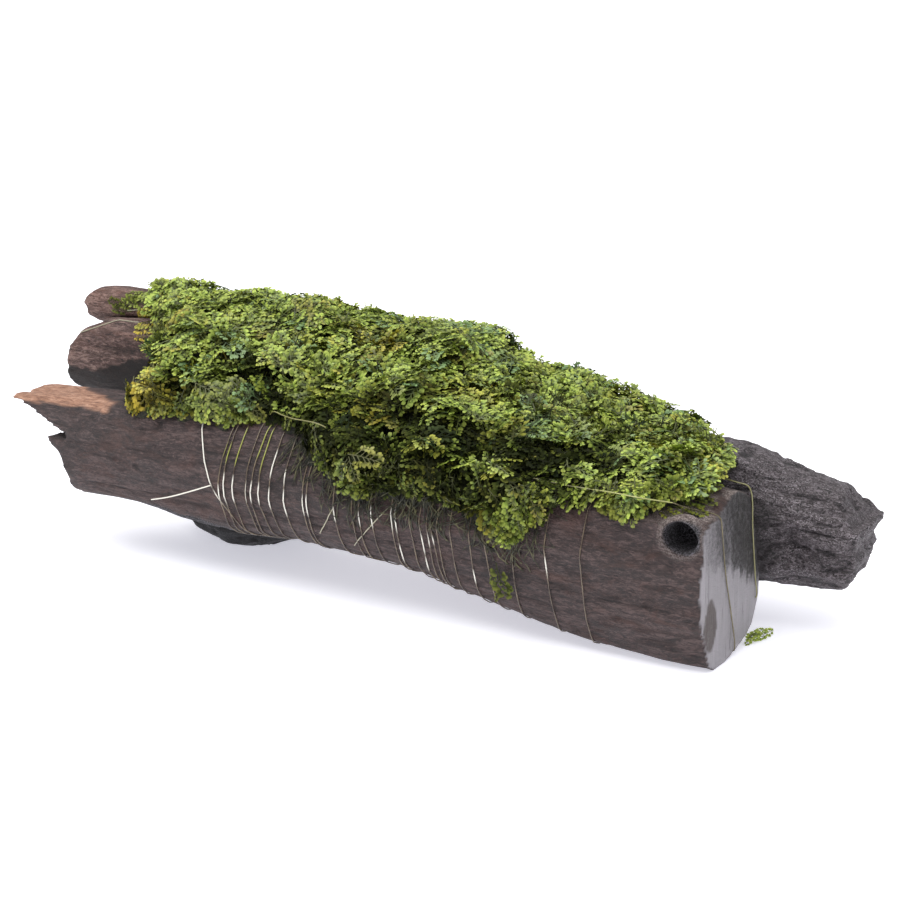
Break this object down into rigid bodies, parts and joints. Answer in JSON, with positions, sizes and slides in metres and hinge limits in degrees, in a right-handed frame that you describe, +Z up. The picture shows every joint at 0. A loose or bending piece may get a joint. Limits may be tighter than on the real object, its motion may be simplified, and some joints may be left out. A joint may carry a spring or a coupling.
{
  "type": "moss on driftwood",
  "caption": "Branching piece of weathered driftwood with a mat of fern-like water moss tied over its top with clear line.",
  "frame": {"origin": "centre of the footprint, on the table under the wood", "axes": "+X along the trunk towards its sawn end, +Y away from the side that the moss hangs down, +Z up"},
  "size_m": [0.289, 0.1028, 0.0832],
  "materials": {
    "wood": "weathered, damp",
    "moss": "matte, feathery",
    "line": "clear, glossy"
  },
  "bodies": {
    "root": {"trunk": "wood", "rear_limb": "wood", "upper_stub": "wood", "foot_stub": "wood", "moss_mat": "moss", "front_sprig": "moss", "fallen_sprig": "moss", "tying_line": "line"}
  },
  "joints": []
}
